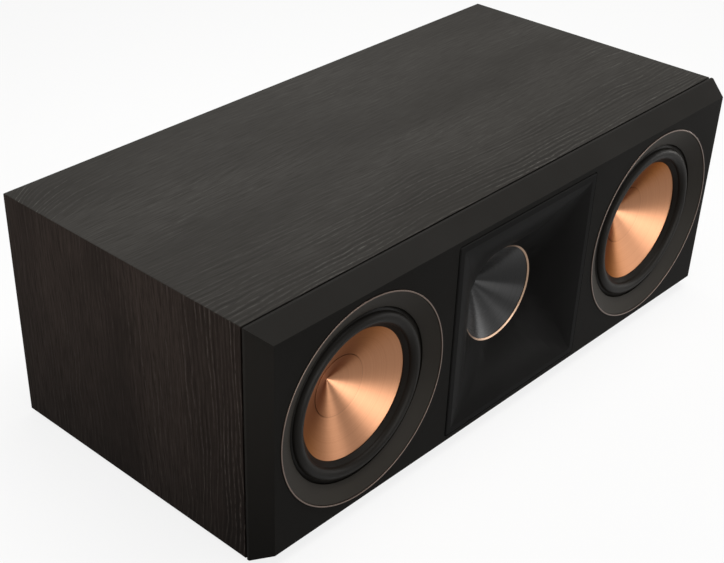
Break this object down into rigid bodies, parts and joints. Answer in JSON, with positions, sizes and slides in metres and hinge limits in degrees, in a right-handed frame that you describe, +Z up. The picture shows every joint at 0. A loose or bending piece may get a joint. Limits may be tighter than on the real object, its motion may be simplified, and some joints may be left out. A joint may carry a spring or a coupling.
{
  "type": "center channel speaker",
  "caption": "Long center channel loudspeaker with copper-coloured cone woofers either side of a square flared horn tweeter, in a dark wood-grain box with a bevelled front baffle.",
  "frame": {"origin": "under the middle of the box, on the surface that the feet stand on", "axes": "+X along the box to the viewer's right, -Y out of the front baffle, +Z up"},
  "size_m": [0.497, 0.2446, 0.178],
  "materials": {
    "wood_vinyl": "satin, fine embossed grain",
    "back_vinyl": "satin",
    "baffle_paint": "satin",
    "board_wood": "raw",
    "foot_rubber": "matte",
    "surround_rubber": "satin",
    "foam": "matte",
    "fibre": "matte",
    "trim_plastic": "satin",
    "copper_accent": "polished, copper-coloured",
    "copper_cone": "spun, copper-coloured",
    "coil_wire": "enamelled wire",
    "spider_cloth": "woven",
    "black_steel": "satin",
    "plated_steel": "plated",
    "ferrite": "matte",
    "horn_plastic": "satin",
    "dome_metal": "satin",
    "black_plastic": "matte",
    "gold_metal": "plated",
    "red_plastic": "gloss",
    "cap_plastic": "gloss",
    "circuit_board": "matte",
    "nylon": "matte",
    "capacitor_film": "gloss",
    "resistor_ceramic": "matte"
  },
  "bodies": {
    "speaker": {"back_panel": "back_vinyl", "black_binding_post": "gold_metal", "board_standoffs": "nylon", "bottom_panel": "wood_vinyl", "capacitors": "capacitor_film", "countersunk_screws": "black_steel", "crossover_board": "circuit_board", "damping_pads": "fibre", "front_baffle": "baffle_paint", "horn": "horn_plastic", "horn_accent_ring": "copper_accent", "inductors": "coil_wire", "left_accent_ring": "copper_accent", "left_basket": "black_steel", "left_brace": "board_wood", "left_front_plate": "plated_steel", "left_magnet": "ferrite", "left_port": "black_plastic", "left_side_panel": "wood_vinyl", "left_spider": "spider_cloth", "left_surround": "surround_rubber", "left_trim_ring": "trim_plastic", "left_yoke": "plated_steel", "pan_head_screws": "black_steel", "post_nuts": "gold_metal", "red_binding_post": "gold_metal", "resistors": "resistor_ceramic", "right_accent_ring": "copper_accent", "right_basket": "black_steel", "right_brace": "board_wood", "right_front_plate": "plated_steel", "right_magnet": "ferrite", "right_port": "black_plastic", "right_side_panel": "wood_vinyl", "right_spider": "spider_cloth", "right_surround": "surround_rubber", "right_trim_ring": "trim_plastic", "right_yoke": "plated_steel", "rubber_feet": "foot_rubber", "terminal_cup": "black_plastic", "throat_insert": "horn_plastic", "top_panel": "wood_vinyl", "tweeter_dome": "dome_metal", "tweeter_front_plate": "plated_steel", "tweeter_magnet": "ferrite", "tweeter_rear_cup": "black_plastic", "tweeter_voice_coil": "coil_wire", "tweeter_yoke": "plated_steel", "woofer_gaskets": "foam"},
    "left_cone_assembly": {"left_cone": "copper_cone", "left_dust_cap": "copper_cone", "left_voice_coil": "coil_wire"},
    "right_cone_assembly": {"right_cone": "copper_cone", "right_dust_cap": "copper_cone", "right_voice_coil": "coil_wire"},
    "red_washer": {"red_clamp_washer": "gold_metal"},
    "red_screw_cap": {"red_cap": "red_plastic"},
    "black_washer": {"black_clamp_washer": "gold_metal"},
    "black_screw_cap": {"black_cap": "cap_plastic"}
  },
  "joints": [
    {"name": "left_woofer_travel", "type": "slide", "parent": "speaker", "child": "left_cone_assembly", "axis": [0, -1, 0], "range_m": [-0.004, 0.004], "stiffness_N_per_m": 1500, "deforming": ["left_surround", "left_spider"]},
    {"name": "right_woofer_travel", "type": "slide", "parent": "speaker", "child": "right_cone_assembly", "axis": [0, -1, 0], "range_m": [-0.004, 0.004], "stiffness_N_per_m": 1500, "deforming": ["right_surround", "right_spider"]},
    {"name": "red_cap_turn", "type": "hinge", "parent": "red_washer", "child": "red_screw_cap", "pos_m": [-0.0095, 0.10175, 0.0905], "axis": [0, 1, 0], "range_deg": [0, 1440]},
    {"name": "red_cap_lift", "type": "slide", "parent": "speaker", "child": "red_washer", "axis": [0, 1, 0], "range_m": [0, 0.004]},
    {"name": "black_cap_turn", "type": "hinge", "parent": "black_washer", "child": "black_screw_cap", "pos_m": [0.0095, 0.10175, 0.0905], "axis": [0, 1, 0], "range_deg": [0, 1440]},
    {"name": "black_cap_lift", "type": "slide", "parent": "speaker", "child": "black_washer", "axis": [0, 1, 0], "range_m": [0, 0.004]}
  ],
  "couplings": [
    {"joint": "red_cap_turn", "follows": "red_cap_lift", "rad_per_m": 6283.2},
    {"joint": "black_cap_turn", "follows": "black_cap_lift", "rad_per_m": 6283.2}
  ]
}
